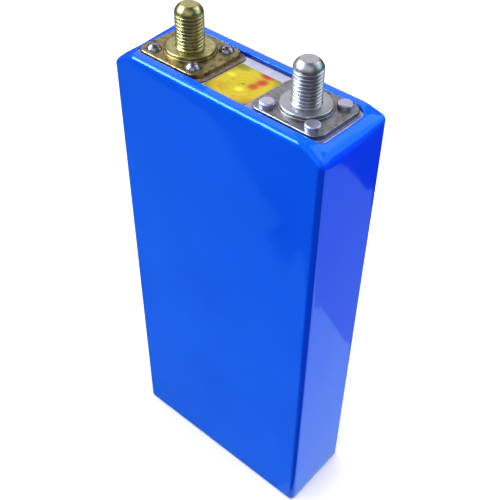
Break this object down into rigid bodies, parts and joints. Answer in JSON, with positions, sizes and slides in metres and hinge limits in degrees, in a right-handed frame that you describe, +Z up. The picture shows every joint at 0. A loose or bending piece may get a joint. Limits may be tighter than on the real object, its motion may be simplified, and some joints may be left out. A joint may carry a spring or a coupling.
{
  "type": "prismatic battery cell",
  "caption": "Upright prismatic lithium cell in blue shrink film, with two M8 stud terminals on riveted plates for bolted busbars, to be stacked and clamped in a battery pack.",
  "frame": {"origin": "centre of the wrapped base, on the surface that the cell stands on", "axes": "+Z up along the studs, +X along the width towards the positive terminal, +Y through the thickness"},
  "size_m": [0.072, 0.027, 0.1644],
  "materials": {
    "blue_film": "glossy heat-shrink film",
    "base_sheet": "matt insulating sheet",
    "frame_plastic": "moulded, matt",
    "can_aluminium": "drawn sheet",
    "vent_foil": "rolled and scored",
    "guard_film": "clear film",
    "plug_metal": "turned",
    "cover_plastic": "moulded, matt, white",
    "label_film": "glossy printed film",
    "plate_brass": "stamped, a little tarnished",
    "plate_aluminium": "stamped",
    "gasket_plastic": "smooth sheet",
    "rivet_steel": "polished",
    "rivet_aluminium": "pressed",
    "stud_brass": "machined thread",
    "stud_aluminium": "machined thread",
    "seal_plastic": "moulded seal",
    "insulator_plastic": "moulded, matt",
    "copper": "stamped copper sheet",
    "collector_aluminium": "stamped sheet",
    "coated_foil": "wound foil with a dark graphite coat",
    "separator_film": "thin porous film",
    "bag_film": "thin film"
  },
  "bodies": {
    "root": {"base_sheet": "base_sheet", "bottom_tray": "insulator_plastic", "can": "can_aluminium", "centre_label": "label_film", "fill_plug": "plug_metal", "front_roll_aluminium_foil": "collector_aluminium", "front_roll_copper_foil": "copper", "front_roll_separator": "separator_film", "front_roll_windings": "coated_foil", "insulating_bag": "bag_film", "lid": "can_aluminium", "negative_collector": "copper", "negative_foil_clips": "copper", "negative_gasket": "gasket_plastic", "negative_inner_insulator": "insulator_plastic", "negative_rivets": "rivet_steel", "negative_seal": "seal_plastic", "negative_stud": "stud_brass", "negative_swage_washer": "copper", "negative_terminal_plate": "plate_brass", "positive_collector": "collector_aluminium", "positive_foil_clips": "collector_aluminium", "positive_gasket": "gasket_plastic", "positive_inner_insulator": "insulator_plastic", "positive_rivets": "rivet_aluminium", "positive_seal": "seal_plastic", "positive_stud": "stud_aluminium", "positive_swage_washer": "collector_aluminium", "positive_terminal_plate": "plate_aluminium", "rear_roll_aluminium_foil": "collector_aluminium", "rear_roll_copper_foil": "copper", "rear_roll_separator": "separator_film", "rear_roll_windings": "coated_foil", "shrink_sleeve": "blue_film", "top_cover": "cover_plastic", "top_frame": "frame_plastic", "vent_disc": "vent_foil", "vent_guard_film": "guard_film"}
  },
  "joints": []
}
